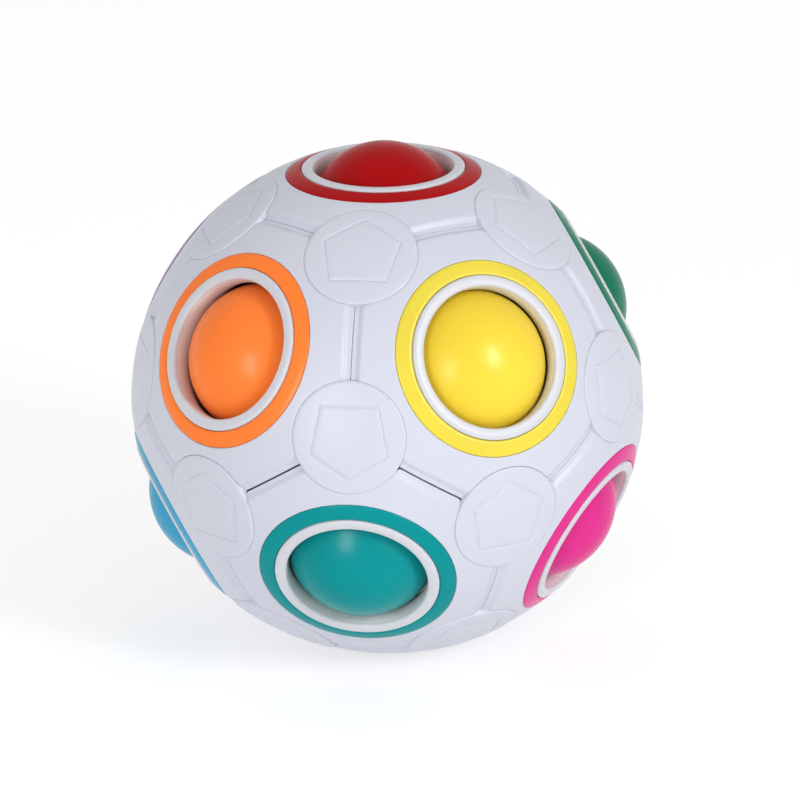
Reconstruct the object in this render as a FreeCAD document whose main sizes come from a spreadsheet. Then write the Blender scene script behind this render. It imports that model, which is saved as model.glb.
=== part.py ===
"""Twelve-hole push puzzle: a ball with eleven coloured balls held in twelve round holes.

The ball's shell is twelve pentagonal plates, one round each hole. Every plate carries a collar
and a coloured ring, and every corner where three plates meet has a screw, a clamp nut and a
round cap. The holes lie like the corners of an icosahedron and the caps like its faces.

Frame: millimetres, +Z up. The puzzle stands on the lip of its lowest collar, which is the one
without a ball. The origin is the middle of that lip, so the puzzle's centre is lip_height above.

Each kind of piece is drawn about its own axis, with the puzzle's centre as its origin and +Z
pointing out of the shell. Its Placement then turns it to its hole or its corner.
"""
import FreeCAD, Part
import Sketcher
import math
import os

SIZES = {
    # shell
    "shell_radius": 35.0,
    "shell_inner_radius": 32.6,
    "plate_reach": 23.2,          # how far a plate's blank reaches from its axis, past its corners
    "plate_inner_reach": 21.6,
    "split_half_width": 0.05,     # half the gap between two plates
    "seam_half_width": 1.4,
    "seam_edge_radius": 34.975,
    "seam_floor_half_width": 0.55,
    "seam_floor_radius": 34.5,
    "side_cut_width": 15.0,
    "side_cut_inner_radius": 15.0,
    "side_cut_outer_radius": 40.0,
    # coloured ring and the hole it sits round
    "plate_hole_radius": 11.15,
    "plate_land_height": 30.05,
    "ring_seat_radius": 13.3,
    "ring_seat_height": 31.2,
    "ring_inner_radius": 11.12,
    "ring_outer_radius": 13.23,
    "ring_bottom_height": 31.25,
    # collar
    "collar_bore_radius": 9.5,
    "collar_outer_radius": 11.07,
    "collar_flange_radius": 12.6,
    "collar_flange_height": 30.0,
    "collar_bottom_height": 29.2,
    "collar_seat_radius": 10.3,   # the bore widens inwards to this, which keeps the ball in
    "collar_seat_height": 31.1,
    "collar_edge_height": 33.1,
    "lip_outer_radius": 10.65,
    "lip_height": 33.45,
    "lip_rounding": 0.25,
    # balls and core
    "ball_radius": 10.5,
    "ball_seat_height": 25.5,
    "outer_ball_seat_height": 26.0,
    "core_radius": 14.9,
    # caps
    "cap_radius": 7.53,
    "cap_top_radius": 35.15,
    "cap_bottom_height": 33.35,
    "cap_rounding": 0.3,
    "cap_line_floor_height": 34.5,
    "cap_pentagon_radius": 5.87,
    "cap_pentagon_inner_radius": 5.41,
    "cap_pentagon_shoulder_angle": 66.0,
    "cap_pentagon_foot_angle": 137.0,
    # corner lugs with the screw's hole
    "lug_radius": 6.5,
    "lug_bottom_height": 30.9,
    "lug_top_height": 33.2,
    "cap_seat_radius": 7.6,
    "cap_seat_height": 33.3,
    "screw_seat_radius": 3.0,
    "screw_seat_height": 32.0,
    "screw_hole_radius": 1.45,
    "cut_top_height": 37.0,
    "cut_bottom_height": 29.0,
    # screws and clamp nuts
    "screw_head_radius": 2.7,
    "screw_head_top_height": 33.2,
    "screw_head_bottom_height": 32.05,
    "screw_slot_half_length": 1.5,
    "screw_slot_half_width": 0.3,
    "screw_slot_floor_height": 32.5,
    "screw_radius": 1.25,
    "screw_tip_height": 28.7,
    "nut_radius": 3.8,
    "nut_bore_radius": 1.3,
    "nut_top_height": 30.85,
    "nut_bottom_height": 28.9,
}

# The icosahedron's angles, in degrees: from a hole to the next hole, to the seam between them,
# and to the nearest and second nearest of the corners where three plates meet
HOLE_TO_HOLE = math.degrees(math.atan(2))
HOLE_TO_SEAM = HOLE_TO_HOLE / 2
HOLE_TO_CORNER = math.degrees(math.acos(math.sqrt((5 + 2 * math.sqrt(5)) / 15)))
HOLE_TO_FAR_CORNER = math.degrees(math.acos(math.sqrt((5 - 2 * math.sqrt(5)) / 15)))
SIDES = 5
FIFTH_TURN = 360 / SIDES
FRONT_AZIMUTH = -90.0

# The holes by the colour of their rings: the top one, the upper five, the lower five, each five
# anticlockwise seen from above, and the lowest, which holds no ball
TOP_COLOUR = "red"
UPPER_COLOURS = ["orange", "yellow", "green", "navy", "purple"]
LOWER_COLOURS = ["teal", "pink", "lime", "rose", "blue"]
EMPTY_COLOUR = "white"

# Every ball is a little loose in its collar. These lie further out than the others
OUTER_BALLS = ["red", "yellow", "teal"]

CENTRE = FreeCAD.Vector(0, 0, SIZES["lip_height"])
UP = FreeCAD.Vector(0, 0, 1)

doc = FreeCAD.newDocument("push_puzzle")
sheet = doc.addObject("Spreadsheet::Sheet", "sizes")
for row, (alias, size) in enumerate(SIZES.items(), start=1):
    sheet.set(f"A{row}", alias)
    sheet.set(f"B{row}", str(size))
    sheet.setAlias(f"B{row}", alias)
doc.recompute()

nodes = []


def direction(polar, azimuth):
    """Unit vector at these angles, in degrees, from +Z and from +X."""
    tilt, turn = math.radians(polar), math.radians(azimuth)
    return FreeCAD.Vector(
        math.sin(tilt) * math.cos(turn), math.sin(tilt) * math.sin(turn), math.cos(tilt)
    )


def facing(outward, towards):
    """Placement at the puzzle's centre with +Z along outward and +X on the side of towards."""
    along_x = towards - outward * towards.dot(outward)
    along_x.normalize()
    turn = FreeCAD.Rotation(along_x, outward.cross(along_x), outward, "ZXY")
    return FreeCAD.Placement(CENTRE, turn)


def find_holes():
    """Placement of each hole's pieces by colour, with +X towards the next hole."""
    front, front_upper = FRONT_AZIMUTH, FRONT_AZIMUTH - FIFTH_TURN / 2
    top, bottom = direction(0, 0), direction(180, 0)
    first_upper = direction(HOLE_TO_HOLE, front_upper)
    first_lower = direction(180 - HOLE_TO_HOLE, front)
    found = {TOP_COLOUR: facing(top, first_upper), EMPTY_COLOUR: facing(bottom, first_lower)}
    for number, (upper, lower) in enumerate(zip(UPPER_COLOURS, LOWER_COLOURS)):
        step = number * FIFTH_TURN
        found[upper] = facing(direction(HOLE_TO_HOLE, front_upper + step), top)
        found[lower] = facing(direction(180 - HOLE_TO_HOLE, front + step), bottom)
    return found


def find_corners():
    """Placements of the corners' pieces in four rows, with +X where the cap's pentagon points."""
    top, bottom = direction(0, 0), direction(180, 0)
    rows = {"top": [], "upper": [], "lower": [], "bottom": []}
    for number in range(SIDES):
        azimuth = FRONT_AZIMUTH + number * FIFTH_TURN
        between = azimuth + FIFTH_TURN / 2
        lower_hole = direction(180 - HOLE_TO_HOLE, azimuth)
        upper_hole = direction(HOLE_TO_HOLE, between)
        rows["top"].append(facing(direction(HOLE_TO_CORNER, azimuth), top))
        rows["upper"].append(facing(direction(HOLE_TO_FAR_CORNER, azimuth), lower_hole))
        rows["lower"].append(facing(direction(180 - HOLE_TO_FAR_CORNER, between), upper_hole))
        rows["bottom"].append(facing(direction(180 - HOLE_TO_CORNER, between), bottom))
    return rows


def add_node(piece, name, placement=FreeCAD.Placement()):
    """Give the piece its place and its name, and keep it as a node of the puzzle."""
    piece.Label = name
    piece.Placement = placement
    nodes.append(piece)


def size_of(cell):
    """Value of a cell. A minus sign before its name turns it round, and "0" is zero."""
    if cell == "0":
        return 0.0
    return -SIZES[cell[1:]] if cell.startswith("-") else SIZES[cell]


def reference(cell):
    """The same value as an expression that refers to the sheet."""
    return f"-sizes.{cell[1:]}" if cell.startswith("-") else f"sizes.{cell}"


def new_sketch(body, plane, tilt=0.0):
    """Sketch on one of the body's own planes, with its Y axis leaning by tilt degrees."""
    sketch = body.newObject("Sketcher::SketchObject", body.Name + "_sketch")
    sketch.AttachmentSupport = [
        (next(f for f in body.Origin.OriginFeatures if f.Role == plane), "")
    ]
    sketch.MapMode = "FlatFace"
    sketch.AttachmentOffset = FreeCAD.Placement(
        FreeCAD.Vector(), FreeCAD.Rotation(FreeCAD.Vector(0, 0, 1), -tilt)
    )
    return sketch


def bind(sketch, kind, element, end, cell):
    """Hold a point of the sketch at a cell's distance from the origin, along X or Y."""
    if cell == "0":
        axis = -2 if kind == "DistanceX" else -1
        sketch.addConstraint(Sketcher.Constraint("PointOnObject", element, end, axis))
        return
    index = sketch.addConstraint(
        Sketcher.Constraint(kind, -1, 1, element, end, size_of(cell))
    )
    sketch.setExpression(f"Constraints[{index}]", reference(cell))


def draw_outline(sketch, corners, arcs=()):
    """Closed outline through corners, which are (x, y) pairs of cells.

    arcs names the sides that are arcs about the origin: {number of the side's first corner: cell
    of its radius}. A corner on an arc gives its x or its y alone, with None for the other.
    """
    arcs, on_arc = dict(arcs), {}
    for side, radius in arcs.items():
        on_arc[side] = on_arc[(side + 1) % len(corners)] = radius
    points = []
    for number, (x, y) in enumerate(corners):
        across = size_of(x) if x else math.sqrt(size_of(on_arc[number]) ** 2 - size_of(y) ** 2)
        up = size_of(y) if y else math.sqrt(size_of(on_arc[number]) ** 2 - across**2)
        points.append(FreeCAD.Vector(across, up, 0))
    ends = []
    for number, start in enumerate(points):
        finish = points[(number + 1) % len(points)]
        if number not in arcs:
            ends.append((sketch.addGeometry(Part.LineSegment(start, finish)), 1, 2))
            continue
        circle = Part.Circle(FreeCAD.Vector(), UP, size_of(arcs[number]))
        angles = [math.atan2(point.y, point.x) for point in (start, finish)]
        arc = sketch.addGeometry(Part.ArcOfCircle(circle, min(angles), max(angles)))
        ends.append((arc, 1, 2) if angles[0] < angles[1] else (arc, 2, 1))
    for number, (element, start, finish) in enumerate(ends):
        following, following_start, _ = ends[(number + 1) % len(ends)]
        sketch.addConstraint(
            Sketcher.Constraint("Coincident", element, finish, following, following_start)
        )
        if number in arcs:
            sketch.addConstraint(Sketcher.Constraint("Coincident", element, 3, -1, 1))
            index = sketch.addConstraint(
                Sketcher.Constraint("Radius", element, size_of(arcs[number]))
            )
            sketch.setExpression(f"Constraints[{index}]", reference(arcs[number]))
    for (x, y), (element, start, _) in zip(corners, ends):
        if x:
            bind(sketch, "DistanceX", element, start, x)
        if y:
            bind(sketch, "DistanceY", element, start, y)


def turned(body, feature, sketch, axis="V_Axis"):
    """Revolution or Groove of the sketch, a full turn about one of the sketch's axes."""
    solid = body.newObject(f"PartDesign::{feature}", f"{body.Name}_{feature}")
    solid.Profile = sketch
    solid.ReferenceAxis = (sketch, [axis])
    solid.Angle = 360
    body.Tip = solid
    doc.recompute()
    return solid


def on_every_side(body, feature):
    """Repeat a feature five times round the body's Z axis."""
    pattern = body.newObject("PartDesign::PolarPattern", body.Name + "_sides")
    pattern.Originals = [feature]
    z_axis = next(f for f in body.Origin.OriginFeatures if f.Role == "Z_Axis")
    pattern.Axis = (z_axis, [""])
    pattern.Angle = 360
    pattern.Occurrences = SIDES
    body.Tip = pattern
    doc.recompute()


def turned_piece(name, corners, arcs=()):
    """Body turned about its own Z axis from an outline in its XZ plane."""
    body = doc.addObject("PartDesign::Body", name)
    sketch = new_sketch(body, "XZ_Plane")
    draw_outline(sketch, corners, arcs)
    turned(body, "Revolution", sketch)
    return body


def round_top_edge(body, radius, rounding):
    """Round the highest circular edge that has this radius."""
    piece = body.Tip
    heights = {
        edge.Curve.Center.z: f"Edge{number}"
        for number, edge in enumerate(piece.Shape.Edges, start=1)
        if not edge.Degenerated
        and isinstance(edge.Curve, Part.Circle)
        and math.isclose(edge.Curve.Radius, size_of(radius), abs_tol=1e-6)
    }
    fillet = body.newObject("PartDesign::Fillet", body.Name + "_rounding")
    fillet.Base = (piece, [heights[max(heights)]])
    fillet.setExpression("Radius", reference(rounding))
    body.Tip = fillet
    doc.recompute()


def make_plate(colour):
    """Pentagonal plate with its hole, its ring's seat, and a lug and a cap's seat at each corner.

    Its own +X side has a seam, towards the next hole, and so its -X side has a corner.
    """
    body = turned_piece(
        f"{colour}_plate",
        [
            ("plate_hole_radius", "plate_land_height"),
            ("plate_hole_radius", "ring_seat_height"),
            ("ring_seat_radius", "ring_seat_height"),
            ("ring_seat_radius", None),
            ("plate_reach", None),
            ("plate_inner_reach", None),
            (None, "plate_land_height"),
        ],
        {3: "shell_radius", 5: "shell_inner_radius"},
    )
    lug = new_sketch(body, "XZ_Plane", tilt=-HOLE_TO_CORNER)
    draw_outline(
        lug,
        [
            ("0", "lug_bottom_height"),
            ("lug_radius", "lug_bottom_height"),
            ("lug_radius", "lug_top_height"),
            ("0", "lug_top_height"),
        ],
    )
    on_every_side(body, turned(body, "Revolution", lug))
    seat = new_sketch(body, "XZ_Plane", tilt=-HOLE_TO_CORNER)
    draw_outline(
        seat,
        [
            ("0", "cut_bottom_height"),
            ("screw_hole_radius", "cut_bottom_height"),
            ("screw_hole_radius", "screw_seat_height"),
            ("screw_seat_radius", "screw_seat_height"),
            ("screw_seat_radius", "cap_seat_height"),
            ("cap_seat_radius", "cap_seat_height"),
            ("cap_seat_radius", "cut_top_height"),
            ("0", "cut_top_height"),
        ],
    )
    on_every_side(body, turned(body, "Groove", seat))
    side = new_sketch(body, "XZ_Plane", tilt=HOLE_TO_SEAM)
    draw_outline(
        side,
        [
            ("-split_half_width", "side_cut_inner_radius"),
            ("side_cut_width", "side_cut_inner_radius"),
            ("side_cut_width", "side_cut_outer_radius"),
            ("-seam_half_width", "side_cut_outer_radius"),
            ("-seam_half_width", "seam_edge_radius"),
            ("-seam_floor_half_width", "seam_floor_radius"),
            ("-split_half_width", "seam_floor_radius"),
        ],
    )
    on_every_side(body, turned(body, "Groove", side, axis="H_Axis"))
    return body


def make_ring(colour):
    """Coloured ring, flush with the shell."""
    return turned_piece(
        f"{colour}_ring",
        [
            ("ring_inner_radius", "ring_bottom_height"),
            ("ring_outer_radius", "ring_bottom_height"),
            ("ring_outer_radius", None),
            ("ring_inner_radius", None),
        ],
        {2: "shell_radius"},
    )


def make_collar(colour):
    """Collar that holds the ball in: a tube with a flange inside the shell and a rounded lip."""
    body = turned_piece(
        f"{colour}_collar",
        [
            ("collar_seat_radius", "collar_bottom_height"),
            ("collar_flange_radius", "collar_bottom_height"),
            ("collar_flange_radius", "collar_flange_height"),
            ("collar_outer_radius", "collar_flange_height"),
            ("collar_outer_radius", "collar_edge_height"),
            ("lip_outer_radius", "lip_height"),
            ("collar_bore_radius", "lip_height"),
            ("collar_bore_radius", "collar_seat_height"),
        ],
    )
    round_top_edge(body, "collar_bore_radius", "lip_rounding")
    return body


def make_sphere(name, radius):
    sphere = doc.addObject("Part::Sphere", name)
    sphere.setExpression("Radius", reference(radius))
    return sphere


def make_cap(name):
    """Round domed cap with a pentagon engraved as a line."""
    body = turned_piece(
        name,
        [
            ("0", "cap_bottom_height"),
            ("cap_radius", "cap_bottom_height"),
            ("cap_radius", None),
            ("0", None),
        ],
        {2: "cap_top_radius"},
    )
    round_top_edge(body, "cap_radius", "cap_rounding")
    line = new_sketch(body, "XY_Plane")
    for radius in ("cap_pentagon_radius", "cap_pentagon_inner_radius"):
        draw_pentagon(line, radius)
    cut = body.newObject("PartDesign::Pocket", name + "_line")
    cut.Profile = line
    line.AttachmentOffset = FreeCAD.Placement(
        FreeCAD.Vector(0, 0, SIZES["cap_line_floor_height"]), FreeCAD.Rotation()
    )
    line.setExpression("AttachmentOffset.Base.z", reference("cap_line_floor_height"))
    cut.Type = "ThroughAll"
    cut.Reversed = True
    body.Tip = cut
    doc.recompute()
    return body


def draw_pentagon(sketch, radius):
    """Pentagon in a circle round the sketch's origin, with its apex on the X axis.

    Its shoulders and its feet lie at the sheet's angles on both sides of the apex.
    """
    angles = ["cap_pentagon_shoulder_angle", "cap_pentagon_foot_angle"]
    shoulder, foot = [size_of(angle) for angle in angles]
    points = [
        direction(90, turn) * size_of(radius) for turn in (0.0, shoulder, foot, -foot, -shoulder)
    ]
    lines = [
        sketch.addGeometry(Part.LineSegment(point, points[(number + 1) % SIDES]))
        for number, point in enumerate(points)
    ]
    circle = sketch.addGeometry(Part.Circle(FreeCAD.Vector(), UP, size_of(radius)), True)
    sketch.addConstraint(Sketcher.Constraint("Coincident", circle, 3, -1, 1))
    index = sketch.addConstraint(Sketcher.Constraint("Radius", circle, size_of(radius)))
    sketch.setExpression(f"Constraints[{index}]", reference(radius))
    for number, line in enumerate(lines):
        following = lines[(number + 1) % SIDES]
        sketch.addConstraint(Sketcher.Constraint("Coincident", line, 2, following, 1))
        sketch.addConstraint(Sketcher.Constraint("PointOnObject", line, 2, circle))
    sketch.addConstraint(Sketcher.Constraint("PointOnObject", lines[0], 1, -1))
    for number, (angle, point) in enumerate(zip(angles, points[1:])):
        line, mirrored = lines[number], lines[-1 - number]
        sketch.addConstraint(Sketcher.Constraint("Equal", line, mirrored))
        index = sketch.addConstraint(Sketcher.Constraint("DistanceX", -1, 1, line, 2, point.x))
        sketch.setExpression(
            f"Constraints[{index}]", f"{reference(radius)} * cos({reference(angle)})"
        )


def make_screw(name):
    """Corner screw with a flat head and a cross slot."""
    body = turned_piece(
        name,
        [
            ("0", "screw_tip_height"),
            ("screw_radius", "screw_tip_height"),
            ("screw_radius", "screw_head_bottom_height"),
            ("screw_head_radius", "screw_head_bottom_height"),
            ("screw_head_radius", "screw_head_top_height"),
            ("0", "screw_head_top_height"),
        ],
    )
    for plane in ("XZ_Plane", "YZ_Plane"):
        slot = new_sketch(body, plane)
        draw_outline(
            slot,
            [
                ("-screw_slot_half_length", "screw_slot_floor_height"),
                ("screw_slot_half_length", "screw_slot_floor_height"),
                ("screw_slot_half_length", "cut_top_height"),
                ("-screw_slot_half_length", "cut_top_height"),
            ],
        )
        cut = body.newObject("PartDesign::Pocket", name + "_slot")
        cut.Profile = slot
        cut.SideType = "Symmetric"
        cut.setExpression("Length", "2 * " + reference("screw_slot_half_width"))
        body.Tip = cut
        doc.recompute()
    return body


def make_nut(name):
    """Round nut inside the shell that clamps three plates' lugs under the screw."""
    return turned_piece(
        name,
        [
            ("nut_bore_radius", "nut_bottom_height"),
            ("nut_radius", "nut_bottom_height"),
            ("nut_radius", "nut_top_height"),
            ("nut_bore_radius", "nut_top_height"),
        ],
    )


def add_group(name, make, placements):
    """Node of identical separate pieces, one at each placement."""
    pieces = []
    for number, placement in enumerate(placements, start=1):
        piece = make(f"{name}_{number}")
        piece.Placement = placement
        pieces.append(piece)
    group = doc.addObject("Part::Compound", name)
    group.Links = pieces
    add_node(group, name)


def check_and_export():
    """Stop if an object of the document failed, and otherwise write each node's STEP file."""
    doc.recompute()
    for item in doc.Objects:
        if {"Invalid", "Error"} & set(item.State):
            raise RuntimeError(f"{item.Label} did not recompute: {item.State}")
    os.makedirs("parts", exist_ok=True)
    for node in nodes:
        if node.Shape.isNull() or not node.Shape.isValid():
            raise RuntimeError(f"{node.Label} has no valid shape")
        node.Shape.exportStep(f"parts/{node.Label}.step")
        print(f"{node.Label}: {len(node.Shape.Solids)} solids, {node.Shape.Volume:.1f} mm3")


holes = find_holes()
corners = find_corners()

for colour, place in holes.items():
    add_node(make_plate(colour), f"{colour}_plate", place)
    add_node(make_ring(colour), f"{colour}_ring", place)
    add_node(make_collar(colour), f"{colour}_collar", place)
    if colour != EMPTY_COLOUR:
        seat = "outer_ball_seat_height" if colour in OUTER_BALLS else "ball_seat_height"
        middle = place.multVec(FreeCAD.Vector(0, 0, SIZES[seat]))
        ball = make_sphere(f"{colour}_ball", "ball_radius")
        add_node(ball, f"{colour}_ball", FreeCAD.Placement(middle, place.Rotation))

add_node(make_sphere("core", "core_radius"), "core", FreeCAD.Placement(CENTRE, FreeCAD.Rotation()))

for row_name, places in corners.items():
    add_group(f"{row_name}_caps", make_cap, places)
every_corner = [place for places in corners.values() for place in places]
add_group("corner_screws", make_screw, every_corner)
add_group("corner_nuts", make_nut, every_corner)

check_and_export()
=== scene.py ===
"""Push-through ball puzzle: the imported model's pieces redrawn finely, with plastics and a studio.

Every piece is drawn in millimetres about its own axis, with the puzzle's centre as its origin
and +Z out of the shell, and is then turned to its hole or its corner.
"""
import bmesh
import bpy
import itertools
import math
import numpy as np
from mathutils import Matrix, Vector


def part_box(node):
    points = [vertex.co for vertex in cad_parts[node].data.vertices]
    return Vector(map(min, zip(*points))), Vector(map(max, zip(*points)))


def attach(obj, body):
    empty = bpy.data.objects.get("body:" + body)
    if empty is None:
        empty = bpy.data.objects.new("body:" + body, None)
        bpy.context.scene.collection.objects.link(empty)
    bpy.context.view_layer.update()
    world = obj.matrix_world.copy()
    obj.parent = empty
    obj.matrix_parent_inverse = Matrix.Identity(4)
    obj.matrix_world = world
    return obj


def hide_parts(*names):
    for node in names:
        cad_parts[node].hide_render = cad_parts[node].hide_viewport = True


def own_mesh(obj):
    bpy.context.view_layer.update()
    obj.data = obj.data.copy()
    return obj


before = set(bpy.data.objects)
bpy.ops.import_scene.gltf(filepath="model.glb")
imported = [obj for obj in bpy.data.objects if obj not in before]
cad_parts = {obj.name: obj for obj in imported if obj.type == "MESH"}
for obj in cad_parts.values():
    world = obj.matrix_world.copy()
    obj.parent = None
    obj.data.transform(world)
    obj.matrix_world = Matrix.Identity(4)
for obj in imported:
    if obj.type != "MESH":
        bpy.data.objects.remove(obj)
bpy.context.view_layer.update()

MM = 0.001
EMPTY = "white"

# Plates, in millimetres; a height is a distance along a hole's axis from the puzzle's centre
SHELL_RADIUS = 35.0
SHELL_INNER_RADIUS = 32.6
PLATE_WALL_RADII = (34.1, 33.4, SHELL_INNER_RADIUS)   # down a plate's edge
SPLIT_HALF_WIDTH = 0.022
LOOSE_GAP = 0.16                # how much wider a split is where its plate sits loosely
LOOSE_SEAMS = {"teal": ("orange", "yellow")}
SPLIT_OPENING = 2.4             # a split widens by this many half widths where it meets a cap
SPLIT_OPENING_LENGTH = 0.6
SEAM_HALF_WIDTH = 1.4
SEAM_FLOOR_HALF_WIDTH = 0.5
SEAM_DEPTH = 0.5
RING_SEAT_RADIUS = 13.3
RING_SEAT_HEIGHT = 31.2
PLATE_HOLE_RADIUS = 11.15
PLATE_LAND_HEIGHT = 30.05
EDGE_ROUNDING = 0.14
CAP_SEAT_RADIUS = 7.57
CAP_SEAT_ROUNDING = 0.42        # width of the rounding
CAP_SEAT_DROP = 0.13            # depth of the rounding

# Rings
RING_INNER_RADIUS = 11.12
RING_OUTER_RADIUS = 13.21
RING_BOTTOM_HEIGHT = 31.25
RING_ROUNDING = 0.22
RING_CROWN = 0.05               # how far a ring's middle stands above the shell's sphere
RING_TILT = 0.06                # how far its inner edge lies below that sphere, and its outer above

# Collars
COLLAR_BORE_RADIUS = 9.5
COLLAR_OUTER_RADIUS = 11.07
COLLAR_FLANGE_RADIUS = 12.6
COLLAR_FLANGE_HEIGHT = 30.0
COLLAR_BOTTOM_HEIGHT = 29.2
COLLAR_SEAT_RADIUS = 10.3
COLLAR_SEAT_HEIGHT = 31.1
LIP_HEIGHT = 33.45
LIP_CREST_RADIUS = 10.3
LIP_ROUNDING = 0.42
LIP_OUTER_DROP = 0.35
BORE_FACES = 2                  # the seat and the bore come first in a collar's outline; these faces get the painted light

# Balls
BALL_RADIUS = 10.5
PARTING_LINE_HEIGHT = 0.015
PARTING_LINE_HALF_WIDTH = 0.12

# Caps
CAP_RADIUS = 7.56
CAP_TOP_RADIUS = 35.15
CAP_BOTTOM_HEIGHT = 33.35
CAP_ROUNDING = 0.4
CAP_DROP = 0.15
LOWER_CAP_SHIFT = 0.05          # the lower row of caps sits this far off centre
PENTAGON_RADIUS = 5.65
PENTAGON_ANGLES = (0, 66, 137, 223, 294)
PENTAGON_LINE_WIDTH = 0.5
PENTAGON_LINE_DEPTH = 0.13
# Across the line, in half widths from its middle, and how deep it is there
PENTAGON_LINE = [(-1, 0), (-0.75, 0.15), (-0.4, 0.8), (0, 1), (0.4, 0.8), (0.75, 0.15), (1, 0)]

# Core: a hub with a springy lobe under each ball
CORE_RADIUS = 14.85
CORE_EDGE_RADIUS = 14.3
CORE_HUB_RADIUS = 9.4
CORE_LOBE_ANGLE = 31.0          # from a lobe's middle to its edge, in degrees
CORE_DOME_SHARE = 0.95          # how much of that angle the domed top takes
CORE_LOBE_ROOT_RADIUS = 7.0
HOPPING = ("teal", "blue")      # these balls leave their holes instead of pressing a lobe

# Linear colours
COLOURS = {
    "red": (0.33, 0.001, 0.002),
    "orange": (0.86, 0.188, 0.031),
    "yellow": (0.76, 0.555, 0.043),
    "green": (0.001, 0.15, 0.078),
    "navy": (0.01, 0.035, 0.22),
    "purple": (0.135, 0.027, 0.225),
    "teal": (0.0, 0.228, 0.238),
    "pink": (0.6, 0.023, 0.218),
    "lime": (0.16, 0.43, 0.04),
    "rose": (0.74, 0.235, 0.36),
    "blue": (0.03, 0.29, 0.47),
}
RING_YELLOW = (0.67, 0.55, 0.055)
SHELL_COLOUR = (0.52, 0.535, 0.605)
COLLAR_COLOUR = (0.53, 0.535, 0.575)
# Lighter than the collar's own white: painted light, so that the shaded bore and seat look lit
BORE_PAINTED_LIGHT_COLOUR = (0.76, 0.74, 0.73)
RUBBER_COLOUR = (0.35, 0.35, 0.36)
STEEL_COLOUR = (0.55, 0.55, 0.56)

# Plastics: noise scales are in waves per metre
MOTTLE_SCALE = 90
UNEVEN_GLOSS_SCALE = 260
UNEVEN_GLOSS = 0.12             # share by which the roughness goes up and down
GRAIN_SCALE = 2600
GRAIN_STRENGTH = 0.05
GRAIN_DEPTH = 0.0001
NOISE_RANGE = (0.3, 0.7)        # noise is nearly all between these values

# Studio: angles in degrees, with azimuth 0 in front of the teal hole, and lengths in metres
CAMERA_AZIMUTH = 8.83
CAMERA_ELEVATION = 19.73
CAMERA_ROLL = 1.11
CAMERA_DISTANCE = 22.49 * SHELL_RADIUS * MM
CAMERA_LENS = 258.0
CAMERA_SENSOR_WIDTH = 36.0
CAMERA_SHIFT = (0.01535, -0.00304)
CAMERA_CLIP_END = 20
LIGHT_DISTANCE = 0.6
FLOOR_SIZE = 3.0
FLOOR_GREY = 0.5
FLOOR_ROUGHNESS = 0.9
FLOOR_GLOW = 0.52               # keeps the floor white without whitening what stands on it
FLOOR_GRAIN_SCALE = 900
FLOOR_GRAIN_STRENGTH = 0.02
WORLD_STRENGTH = 0.79

SHARP_DEGREES = 40
SMALLEST_GAP = 1e-5             # points closer than this are one point
PLATE_STEPS = 26                # rays over each part of a half sector of a plate
CAP_STEPS_PER_DEGREE = 0.5

# Holes next to each other are 63.4 degrees apart, and the next nearest 116.6
NEIGHBOUR_COSINE = 0.4


# ---- where things are --------------------------------------------------------------------

def middle(node):
    """Middle of a CAD node's box."""
    low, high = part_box(node)
    return (low + high) / 2


centre = middle("core")
holes = {colour: (middle(f"{colour}_ball") - centre).normalized() for colour in COLOURS}
holes[EMPTY] = Vector((0, 0, -1))


def are_neighbours(*directions):
    """True if these holes are all next to one another."""
    return all(a.dot(b) > NEIGHBOUR_COSINE for a, b in itertools.combinations(directions, 2))


def facing(outward, towards):
    """Matrix from a piece's own millimetres to its place, with +X on the side of towards."""
    along_x = (towards - outward * towards.dot(outward)).normalized()
    turn = Matrix((along_x, outward.cross(along_x), outward)).transposed().to_4x4()
    return Matrix.Translation(centre) @ turn @ Matrix.Scale(MM, 4)


def hole_place(colour):
    """Place of the pieces at a hole, with +X towards one of its five neighbours."""
    outward = holes[colour]
    neighbour = next(
        hole for hole in holes.values() if hole != outward and are_neighbours(hole, outward)
    )
    return facing(outward, neighbour)


def seam_number(place, neighbour):
    """Which of a plate's five seams, anticlockwise from its own +X, faces this neighbour."""
    towards = place.to_3x3().inverted() @ holes[neighbour]
    return round(math.atan2(towards.y, towards.x) / (math.tau / 5)) % 5


def corner_places():
    """Places of the caps by row, each with +X towards the hole that its pentagon points at.

    That hole is the one of the three that is least like the others in height.
    """
    rows = {"top": [], "upper": [], "lower": [], "bottom": []}
    for trio in itertools.combinations(holes.values(), 3):
        if not are_neighbours(*trio):
            continue
        outward = sum(trio, Vector()).normalized()
        odd_one = max(trio, key=lambda hole: sorted(abs(hole.z - other.z) for other in trio)[1])
        row = list(rows)[sum(outward.z < level for level in (0.5, 0.0, -0.5))]
        rows[row].append(facing(outward, odd_one))
    return rows


# ---- materials ---------------------------------------------------------------------------

def new_material(name):
    """New material, with its nodes, its links and its shader."""
    material = bpy.data.materials.new(name)
    material.use_nodes = True
    nodes, links = material.node_tree.nodes, material.node_tree.links
    return material, nodes, links, nodes["Principled BSDF"]


def add_noise(nodes, links, scale, detail=3.0):
    """Noise that is fixed to the object, with scale in waves per metre."""
    place = nodes.new("ShaderNodeTexCoord")
    noise = nodes.new("ShaderNodeTexNoise")
    noise.inputs["Scale"].default_value = scale
    noise.inputs["Detail"].default_value = detail
    links.new(place.outputs["Object"], noise.inputs["Vector"])
    return noise.outputs["Fac"]


def add_range(nodes, links, factor, low, high):
    """Spread a noise over a range of values."""
    spread = nodes.new("ShaderNodeMapRange")
    spread.inputs["From Min"].default_value = NOISE_RANGE[0]
    spread.inputs["From Max"].default_value = NOISE_RANGE[1]
    spread.inputs["To Min"].default_value = low
    spread.inputs["To Max"].default_value = high
    links.new(factor, spread.inputs["Value"])
    return spread.outputs["Result"]


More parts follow.
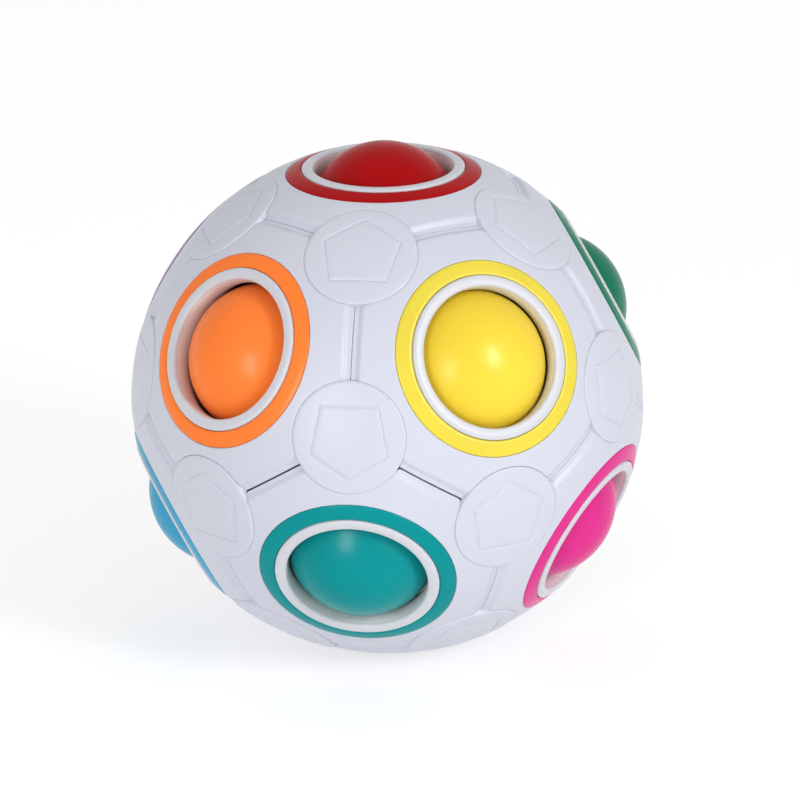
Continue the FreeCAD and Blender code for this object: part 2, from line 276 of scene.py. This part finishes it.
def moulded_plastic(name, colour, roughness, mottle=0.04, gloss=0.5):
    """Moulded plastic: faint flow mottling, uneven gloss and a fine moulded grain."""
    material, nodes, links, shader = new_material(name)
    ramp = nodes.new("ShaderNodeValToRGB")
    for element, position, change in zip(ramp.color_ramp.elements, NOISE_RANGE, (-mottle, mottle)):
        element.position = position
        element.color = (*[min(1, c * (1 + change)) for c in colour], 1)
    links.new(add_noise(nodes, links, MOTTLE_SCALE), ramp.inputs["Fac"])
    links.new(ramp.outputs["Color"], shader.inputs["Base Color"])
    uneven = add_range(
        nodes, links, add_noise(nodes, links, UNEVEN_GLOSS_SCALE),
        roughness * (1 - UNEVEN_GLOSS), roughness * (1 + UNEVEN_GLOSS),
    )
    links.new(uneven, shader.inputs["Roughness"])
    bump = nodes.new("ShaderNodeBump")
    bump.inputs["Strength"].default_value = GRAIN_STRENGTH
    bump.inputs["Distance"].default_value = GRAIN_DEPTH
    links.new(add_noise(nodes, links, GRAIN_SCALE, 2.0), bump.inputs["Height"])
    links.new(bump.outputs["Normal"], shader.inputs["Normal"])
    shader.inputs["Specular IOR Level"].default_value = gloss
    return material


shell_plastic = moulded_plastic("shell_plastic", SHELL_COLOUR, 0.34, mottle=0.012, gloss=0.08)
collar_plastic = moulded_plastic("collar_plastic", COLLAR_COLOUR, 0.28, mottle=0.01, gloss=0.1)
# Painted light: the collar's white made lighter for its shaded bore and seat
bore_painted_light_plastic = moulded_plastic("bore_painted_light_plastic", BORE_PAINTED_LIGHT_COLOUR, 0.4, mottle=0.01, gloss=0.1)
ball_plastics = {
    colour: moulded_plastic(f"{colour}_ball_plastic", value, 0.27, gloss=0.08)
    for colour, value in COLOURS.items()
}
ring_plastics = {
    colour: moulded_plastic(f"{colour}_ring_plastic", value, 0.24, gloss=0.08)
    for colour, value in {**COLOURS, "yellow": RING_YELLOW}.items()
}
ring_plastics[EMPTY] = shell_plastic


# ---- mesh helpers ------------------------------------------------------------------------

def add_piece(name, loops, place, material, body, node):
    """Piece from loops of points, joined each to the next and each closed on itself.

    loops is an array (loops, points, 3). The first loop follows the last.
    """
    rings, around, _ = loops.shape
    number = np.arange(rings * around).reshape(rings, around)
    following = np.roll(number, -1, axis=0)
    faces = np.stack(
        [number, following, np.roll(following, -1, axis=1), np.roll(number, -1, axis=1)], axis=-1
    )
    mesh = bpy.data.meshes.new(name)
    mesh.from_pydata(loops.reshape(-1, 3).tolist(), [], faces.reshape(-1, 4).tolist())
    return finish_piece(name, mesh, place, material, body, node)


def finish_piece(name, mesh, place, material, body, node):
    """Clean a mesh, put it in its place, and let it stand for its CAD node."""
    work = bmesh.new()
    work.from_mesh(mesh)
    bmesh.ops.remove_doubles(work, verts=work.verts, dist=SMALLEST_GAP)
    bmesh.ops.recalc_face_normals(work, faces=work.faces)
    work.to_mesh(mesh)
    work.free()
    mesh.transform(place)
    mesh.shade_smooth()
    mesh.set_sharp_from_angle(angle=math.radians(SHARP_DEGREES))
    mesh.materials.append(material)
    piece = bpy.data.objects.new(name, mesh)
    bpy.context.scene.collection.objects.link(piece)
    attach(piece, body)
    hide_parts(node)
    return piece


def turned_loops(profile, steps=256):
    """Loops of a closed outline of (radius, height) turned about +Z."""
    outline = np.array(profile, float)
    angles = np.linspace(0, 2 * math.pi, steps, endpoint=False)
    radius, height = outline[:, 0, None], outline[:, 1, None]
    across = [radius * np.cos(angles), radius * np.sin(angles), height + 0 * angles]
    return np.stack(across, axis=-1).transpose(1, 0, 2)


def arc(middle_point, radii, start, end, steps):
    """Points of an elliptical arc, with angles in degrees from the outward direction."""
    angles = np.radians(np.linspace(start, end, steps + 1))
    return [
        (middle_point[0] + radii[0] * math.cos(a), middle_point[1] + radii[1] * math.sin(a))
        for a in angles
    ]


def on_sphere(sphere_radius, radius):
    """Height on a sphere at this distance from its axis."""
    return math.sqrt(sphere_radius**2 - radius**2)


def edge_drop(distance, width, depth):
    """How far an edge that is rounded over this width and depth has dropped inside it."""
    share = np.clip(1 - distance / width, 0, 1)
    return depth * (1 - np.sqrt(1 - share**2))


def smooth_step(value):
    """Rise from 0 to 1 that starts and ends level."""
    value = np.clip(value, 0, 1)
    return value * value * (3 - 2 * value)


# ---- plates ------------------------------------------------------------------------------

# Angles from a hole's axis to a seam's middle and to a corner, as in an icosahedron
HOLE_TO_SEAM = math.atan(2) / 2
HOLE_TO_CORNER = math.acos(math.sqrt((5 + 2 * math.sqrt(5)) / 15))
RING_SEAT_ANGLE = math.asin(RING_SEAT_RADIUS / SHELL_RADIUS)
CAP_SEAT_ANGLE = math.asin(CAP_SEAT_RADIUS / SHELL_RADIUS)
FIFTHS = np.arange(5) * math.tau / 5
SEAM_NORMALS = np.array(
    [
        (math.cos(HOLE_TO_SEAM) * math.cos(a), math.cos(HOLE_TO_SEAM) * math.sin(a),
         -math.sin(HOLE_TO_SEAM))
        for a in FIFTHS
    ]
)
CORNER_DIRECTIONS = np.array(
    [
        (math.sin(HOLE_TO_CORNER) * math.cos(a + math.pi / 5),
         math.sin(HOLE_TO_CORNER) * math.sin(a + math.pi / 5), math.cos(HOLE_TO_CORNER))
        for a in FIFTHS
    ]
)


def split_half_widths(loose=()):
    """Half width of the split along each of a plate's five seams, in millimetres."""
    return SPLIT_HALF_WIDTH + LOOSE_GAP * np.isin(np.arange(5), loose)


def outer_angle(azimuth, half_widths):
    """Angle from the hole's axis to the plate's edge, and whether a cap's seat cuts it there."""
    half_width = half_widths[round(azimuth / (math.tau / 5)) % 5]
    from_seam = (azimuth + math.pi / 5) % (math.tau / 5) - math.pi / 5
    across, down = math.cos(HOLE_TO_SEAM) * math.cos(from_seam), math.sin(HOLE_TO_SEAM)
    seam = math.atan2(down, across) - math.asin(
        half_width / SHELL_RADIUS / math.hypot(across, down)
    )
    from_corner = math.pi / 5 - abs(from_seam)
    across, up = math.sin(HOLE_TO_CORNER) * math.cos(from_corner), math.cos(HOLE_TO_CORNER)
    from_cap = math.acos(math.sin(seam) * across + math.cos(seam) * up) - CAP_SEAT_ANGLE
    opening = max(0, 1 - from_cap * SHELL_RADIUS / SPLIT_OPENING_LENGTH)
    if from_cap > 0:
        seam -= SPLIT_OPENING * half_width * opening**2 / SHELL_RADIUS
    reach = math.cos(CAP_SEAT_ANGLE) / math.hypot(across, up)
    if reach >= 1:
        return seam, False
    seat = math.atan2(across, up) - math.acos(reach)
    return min(seam, seat), seat < seam


def plate_azimuths():
    """Azimuths of a plate's rays, with one at each end of each stretch of seam.

    The rays stand closest together where a seam ends at a cap's seat.
    """
    low, high = 0.0, math.pi / 5
    for _ in range(50):
        guess = (low + high) / 2
        in_seat = outer_angle(guess, split_half_widths())[1]
        low, high = (low, guess) if in_seat else (guess, high)
    half = np.concatenate(
        [
            low * (1 - (1 - np.linspace(0, 1, PLATE_STEPS, endpoint=False)) ** 1.8),
            low + (math.pi / 5 - low) * np.linspace(0, 1, PLATE_STEPS + 1) ** 1.3,
        ]
    )
    sector = np.concatenate([-half[:0:-1], half[:-1]])
    return np.concatenate([sector + a for a in FIFTHS])


def plate_surface(directions, half_widths):
    """Distance of the plate's outer surface from the puzzle's centre along unit directions."""
    towards_seams = directions @ SEAM_NORMALS.T
    inside = -SHELL_RADIUS * towards_seams.max(axis=-1)
    half_width = half_widths[towards_seams.argmax(axis=-1)]
    from_corner = np.arccos(np.clip((directions @ CORNER_DIRECTIONS.T).max(axis=-1), -1, 1))
    from_hole = np.arccos(np.clip(directions[..., 2], -1, 1))
    slope = (SEAM_HALF_WIDTH - inside) / (SEAM_HALF_WIDTH - SEAM_FLOOR_HALF_WIDTH)
    surface = SHELL_RADIUS - SEAM_DEPTH * smooth_step(slope)
    surface -= edge_drop(inside - half_width, EDGE_ROUNDING, EDGE_ROUNDING)
    from_seat = SHELL_RADIUS * (from_corner - CAP_SEAT_ANGLE)
    surface -= edge_drop(from_seat, CAP_SEAT_ROUNDING, CAP_SEAT_DROP)
    from_ring = SHELL_RADIUS * (from_hole - RING_SEAT_ANGLE)
    surface -= edge_drop(from_ring, EDGE_ROUNDING, EDGE_ROUNDING)
    return surface


def plate_loops(half_widths):
    """Loops of one plate: its ring's seat, its outer surface, its edge and its inside."""
    fine = np.array([0, 0.02, 0.05, 0.1, 0.17, 0.25])   # steps over a rounded edge
    rays = []
    for azimuth in plate_azimuths():
        end = outer_angle(azimuth, half_widths)[0]
        length = SHELL_RADIUS * (end - RING_SEAT_ANGLE)
        rest = length - 2 * fine[-1]                    # its points crowd towards the seam
        between = fine[-1] + rest * (1 - (1 - np.linspace(0, 1, 30)[1:-1]) ** 1.6)
        along = np.concatenate([fine, between, length - fine[::-1]]) / SHELL_RADIUS
        angles = RING_SEAT_ANGLE + along
        flat = np.array([math.cos(azimuth), math.sin(azimuth)])
        directions = np.column_stack([np.sin(angles)[:, None] * flat, np.cos(angles)])
        top = directions * plate_surface(directions, half_widths)[:, None]
        wall = directions[-1] * np.array(PLATE_WALL_RADII)[:, None]
        inner_edge = math.acos(PLATE_LAND_HEIGHT / SHELL_INNER_RADIUS)
        under = np.linspace(end, inner_edge, 7)[1:]
        inside = SHELL_INNER_RADIUS * np.column_stack(
            [np.sin(under)[:, None] * flat, np.cos(under)]
        )
        seat = [
            (*(PLATE_HOLE_RADIUS * flat), PLATE_LAND_HEIGHT),
            (*(PLATE_HOLE_RADIUS * flat), RING_SEAT_HEIGHT),
            (*(RING_SEAT_RADIUS * flat), RING_SEAT_HEIGHT),
        ]
        rays.append(np.vstack([seat, top, wall, inside]))
    return np.array(rays)


# ---- rings, collars, balls and caps ------------------------------------------------------

def ring_profile():
    """Coloured ring: a flat-bottomed band with a top that follows the shell."""
    soft = RING_ROUNDING
    inner_top = on_sphere(SHELL_RADIUS, RING_INNER_RADIUS)
    outer_top = on_sphere(SHELL_RADIUS, RING_OUTER_RADIUS)
    across = np.linspace(RING_INNER_RADIUS + soft, RING_OUTER_RADIUS - soft, 9)[1:-1]
    return [
        (RING_INNER_RADIUS, RING_BOTTOM_HEIGHT),
        *arc((RING_INNER_RADIUS + soft, inner_top - soft - RING_TILT), (soft, soft), 180, 110, 5),
        *[(r, on_sphere(SHELL_RADIUS, r) + RING_CROWN) for r in across],
        *arc((RING_OUTER_RADIUS - soft, outer_top - soft + RING_TILT), (soft, soft), 62, 0, 5),
        (RING_OUTER_RADIUS, RING_BOTTOM_HEIGHT),
    ]


def collar_profile():
    """Collar: a tube with a flange inside the shell, a conical seat and a rolled lip."""
    outer_width = COLLAR_OUTER_RADIUS - LIP_CREST_RADIUS
    inner_middle = (COLLAR_BORE_RADIUS + LIP_ROUNDING, LIP_HEIGHT - LIP_ROUNDING)
    outer_middle = (LIP_CREST_RADIUS, LIP_HEIGHT - LIP_OUTER_DROP)
    return [
        (COLLAR_SEAT_RADIUS, COLLAR_BOTTOM_HEIGHT),
        (COLLAR_BORE_RADIUS, COLLAR_SEAT_HEIGHT),
        *arc(inner_middle, (LIP_ROUNDING, LIP_ROUNDING), 180, 90, 10),
        *arc(outer_middle, (outer_width, LIP_OUTER_DROP), 90, 0, 12),
        (COLLAR_OUTER_RADIUS, COLLAR_FLANGE_HEIGHT),
        (COLLAR_FLANGE_RADIUS, COLLAR_FLANGE_HEIGHT),
        (COLLAR_FLANGE_RADIUS, COLLAR_BOTTOM_HEIGHT),
    ]


def ball_mesh(name, seat_height):
    """Moulded ball with a faint raised parting line round its middle."""
    mesh = bpy.data.meshes.new(name)
    work = bmesh.new()
    bmesh.ops.create_uvsphere(work, u_segments=128, v_segments=96, radius=BALL_RADIUS)
    for vertex in work.verts:
        line = math.exp(-((vertex.co.z / PARTING_LINE_HALF_WIDTH) ** 2))
        vertex.co *= 1 + PARTING_LINE_HEIGHT * line / BALL_RADIUS
        vertex.co.z += seat_height
    work.to_mesh(mesh)
    work.free()
    return mesh


def pentagon_reach(azimuth):
    """Distance from the cap's axis to its pentagon, in each direction."""
    corners = np.radians(np.array(PENTAGON_ANGLES + (360,)))
    turn = azimuth % math.tau
    side = min(np.searchsorted(corners, turn, side="right") - 1, 4)
    half = (corners[side + 1] - corners[side]) / 2
    return PENTAGON_RADIUS * math.cos(half) / math.cos(turn - corners[side] - half)


def cap_azimuths():
    """Azimuths of a cap's rays, with one at each corner of its pentagon."""
    corners = np.radians(PENTAGON_ANGLES + (360,))
    parts = []
    for start, end in zip(corners[:-1], corners[1:]):
        steps = int(math.degrees(end - start) * CAP_STEPS_PER_DEGREE)
        parts.append(np.linspace(start, end, steps, endpoint=False))
    return np.concatenate(parts)


def cap_loops():
    """Loops of one domed cap, from its axis out over the pentagon's line to its edge."""
    half = PENTAGON_LINE_WIDTH / 2
    edge = [
        (CAP_RADIUS - CAP_ROUNDING * (1 - math.sin(t)), 0)
        for t in np.linspace(0, math.pi / 2, 8)
    ]
    rays = []
    for azimuth in cap_azimuths():
        reach = pentagon_reach(azimuth)
        inside = [(reach * share, 0) for share in (0.0, 0.2, 0.4, 0.6, 0.8)]
        line = [(reach + offset * half, depth) for offset, depth in PENTAGON_LINE]
        start, end = reach + half, CAP_RADIUS - CAP_ROUNDING
        outside = [(start + (end - start) * share, 0) for share in (0.35, 0.7)]
        points = []
        for radius, depth in inside + line + outside + edge:
            height = on_sphere(CAP_TOP_RADIUS, radius) - PENTAGON_LINE_DEPTH * depth
            height -= float(edge_drop(CAP_RADIUS - radius, CAP_ROUNDING, CAP_DROP))
            points.append((radius, height))
        points += [(CAP_RADIUS, CAP_BOTTOM_HEIGHT), (0.0, CAP_BOTTOM_HEIGHT)]
        rays.append([(r * math.cos(azimuth), r * math.sin(azimuth), z) for r, z in points])
    return np.array(rays)


def core_lobe_profile():
    """Lobe of the core: a piece of its sphere, with an eased edge, down into the hub."""
    edge = math.radians(CORE_LOBE_ANGLE)
    dome = [
        (CORE_RADIUS * math.sin(t), CORE_RADIUS * math.cos(t))
        for t in np.linspace(0, CORE_DOME_SHARE * edge, 12)
    ]
    side = [
        (radius * math.sin(edge), radius * math.cos(edge))
        for radius in (CORE_EDGE_RADIUS, CORE_LOBE_ROOT_RADIUS)
    ]
    return [*dome, *side, (0.0, CORE_LOBE_ROOT_RADIUS * math.cos(edge))]


tight_plate = plate_loops(split_half_widths())
ring = turned_loops(ring_profile())
collar = turned_loops(collar_profile())
cap = cap_loops()

for colour in holes:
    place = hole_place(colour)
    plate = tight_plate
    if colour in LOOSE_SEAMS:
        loose = [seam_number(place, other) for other in LOOSE_SEAMS[colour]]
        plate = plate_loops(split_half_widths(loose))
    add_piece(f"{colour}_shell_plate", plate, place, shell_plastic, "shell", f"{colour}_plate")
    add_piece(
        f"{colour}_trim_ring", ring, place, ring_plastics[colour], "shell", f"{colour}_ring"
    )
    lip = add_piece(
        f"{colour}_lip_collar", collar, place, collar_plastic, "shell", f"{colour}_collar"
    )
    # The bore and seat get the lighter plastic: painted light in the collar's shaded hollow
    lip.data.materials.append(bore_painted_light_plastic)
    for face in lip.data.polygons:
        face.material_index = int(face.index % len(collar[0]) < BORE_FACES)
    if colour != EMPTY:
        seat_height = (middle(f"{colour}_ball") - centre).length / MM
        finish_piece(
            f"{colour}_push_ball", ball_mesh(f"{colour}_push_ball", seat_height), place,
            ball_plastics[colour], f"{colour}_ball", f"{colour}_ball",
        )

for row, places in corner_places().items():
    shift = Matrix.Translation((-LOWER_CAP_SHIFT if row == "lower" else 0, 0, 0))
    for number, place in enumerate([place @ shift for place in places], start=1):
        add_piece(f"{row}_cap_{number}", cap, place, shell_plastic, "shell", f"{row}_caps")


# ---- core --------------------------------------------------------------------------------

core_rubber = moulded_plastic("core_rubber", RUBBER_COLOUR, 0.6)
hub = [
    (CORE_HUB_RADIUS * math.sin(t), CORE_HUB_RADIUS * math.cos(t))
    for t in np.linspace(0, math.pi, 33)
]
add_piece(
    "core_hub", turned_loops(hub, 64), facing(holes["red"], holes["orange"]), core_rubber,
    "shell", "core",
)
lobe = turned_loops(core_lobe_profile(), 64)
for colour in holes:
    piece = add_piece(
        f"{colour}_core_lobe", lobe, hole_place(colour), core_rubber, "shell", "core"
    )
    if colour != EMPTY and colour not in HOPPING:
        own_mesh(piece)


# ---- CAD nodes that stay -----------------------------------------------------------------

screw_steel = moulded_plastic("screw_steel", STEEL_COLOUR, 0.35)
screw_steel.node_tree.nodes["Principled BSDF"].inputs["Metallic"].default_value = 1.0
for node, material in (("corner_screws", screw_steel), ("corner_nuts", shell_plastic)):
    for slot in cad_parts[node].material_slots:
        slot.material = material


# ---- studio ------------------------------------------------------------------------------

def direction(azimuth, elevation):
    """Unit vector from the puzzle towards these angles in degrees."""
    turn, lift = math.radians(azimuth), math.radians(elevation)
    return Vector(
        (math.sin(turn) * math.cos(lift), -math.cos(turn) * math.cos(lift), math.sin(lift))
    )


def add_floor():
    mesh = bpy.data.meshes.new("floor")
    work = bmesh.new()
    bmesh.ops.create_grid(work, x_segments=1, y_segments=1, size=FLOOR_SIZE)
    work.to_mesh(mesh)
    work.free()
    floor = bpy.data.objects.new("floor", mesh)
    bpy.context.scene.collection.objects.link(floor)
    material, nodes, links, shader = new_material("floor_paper")
    shader.inputs["Base Color"].default_value = (FLOOR_GREY, FLOOR_GREY, FLOOR_GREY, 1)
    shader.inputs["Roughness"].default_value = FLOOR_ROUGHNESS
    shader.inputs["Emission Color"].default_value = (1.0, 1.0, 1.0, 1)
    shader.inputs["Emission Strength"].default_value = FLOOR_GLOW
    bump = nodes.new("ShaderNodeBump")
    bump.inputs["Strength"].default_value = FLOOR_GRAIN_STRENGTH
    links.new(add_noise(nodes, links, FLOOR_GRAIN_SCALE), bump.inputs["Height"])
    links.new(bump.outputs["Normal"], shader.inputs["Normal"])
    mesh.materials.append(material)


def add_world():
    world = bpy.data.worlds.new("studio")
    bpy.context.scene.world = world
    world.use_nodes = True
    backdrop = world.node_tree.nodes["Background"]
    backdrop.inputs["Color"].default_value = (1.0, 1.0, 1.0, 1)
    backdrop.inputs["Strength"].default_value = WORLD_STRENGTH


def add_light(name, azimuth, elevation, spread, radiance, glossy):
    """Softbox that faces the puzzle from these angles, with its spread across and up in degrees.

    A glossy softbox shows only in reflections. The others light the surfaces and show in none.
    """
    back = direction(azimuth, elevation)
    light = bpy.data.lights.new(name, "AREA")
    light.shape = "RECTANGLE"
    light.size, light.size_y = [
        2 * LIGHT_DISTANCE * math.tan(math.radians(angle / 2)) for angle in spread
    ]
    light.energy = radiance * math.pi * light.size * light.size_y
    lamp = bpy.data.objects.new(name, light)
    lamp.location = centre + back * LIGHT_DISTANCE
    lamp.visible_diffuse = not glossy
    lamp.visible_glossy = glossy
    lamp.rotation_mode = "QUATERNION"
    lamp.rotation_quaternion = back.to_track_quat("Z", "Y")
    bpy.context.scene.collection.objects.link(lamp)


def add_camera():
    camera = bpy.data.cameras.new("camera")
    camera.lens = CAMERA_LENS
    camera.sensor_width = CAMERA_SENSOR_WIDTH
    camera.shift_x, camera.shift_y = CAMERA_SHIFT
    camera.clip_end = CAMERA_CLIP_END
    view = bpy.data.objects.new("camera", camera)
    back = direction(CAMERA_AZIMUTH, CAMERA_ELEVATION)
    view.location = centre + back * CAMERA_DISTANCE
    view.rotation_mode = "QUATERNION"
    roll = Matrix.Rotation(-math.radians(CAMERA_ROLL), 3, "Z").to_quaternion()
    view.rotation_quaternion = back.to_track_quat("Z", "Y") @ roll
    bpy.context.scene.collection.objects.link(view)
    bpy.context.scene.camera = view


add_floor()
add_world()
add_light(
    "right_softbox", azimuth=54, elevation=25, spread=(11, 17), radiance=21.2, glossy=False
)
add_light(
    "left_softbox", azimuth=-14, elevation=12, spread=(11, 15), radiance=13.6, glossy=False
)
add_light(
    "right_reflection", azimuth=52, elevation=27, spread=(16, 26), radiance=42, glossy=True
)
add_light(
    "left_reflection", azimuth=-17, elevation=13, spread=(18, 28), radiance=19, glossy=True
)
add_camera()
bpy.context.scene.view_settings.view_transform = "Standard"
